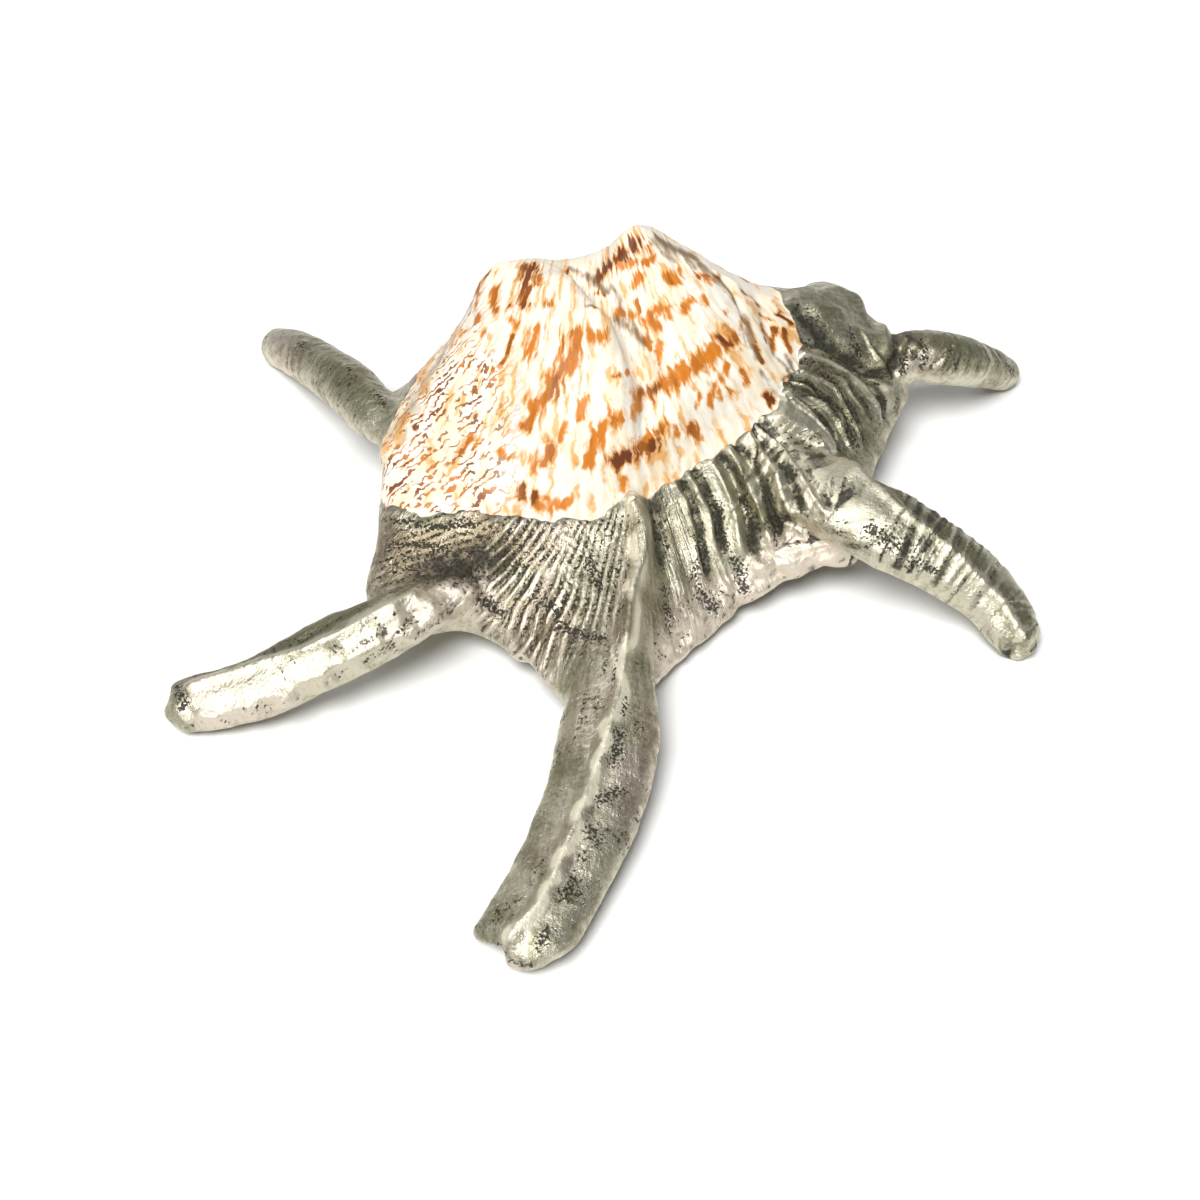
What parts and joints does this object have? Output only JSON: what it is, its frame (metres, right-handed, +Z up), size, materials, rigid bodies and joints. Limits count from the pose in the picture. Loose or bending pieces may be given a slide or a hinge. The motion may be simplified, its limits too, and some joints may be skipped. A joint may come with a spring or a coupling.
{
  "type": "spider conch shell",
  "caption": "Spider conch shell ornament: knobbed natural crown, flared ribbed lip and long curved digits in antique silver plate, lying on its aperture.",
  "frame": {"origin": "middle of the outline on the surface that the shell lies on", "axes": "+Z up, the lip's front edge towards -Y, the canal end of the shell towards +X"},
  "size_m": [0.2186, 0.2383, 0.0704],
  "materials": {
    "plated_shell": "antique silver plate with dark patina in the grooves over the lip and digits; the crown is left as glossy cream shell with orange-brown blotches"
  },
  "bodies": {
    "root": {"conch_shell": "plated_shell"}
  },
  "joints": []
}
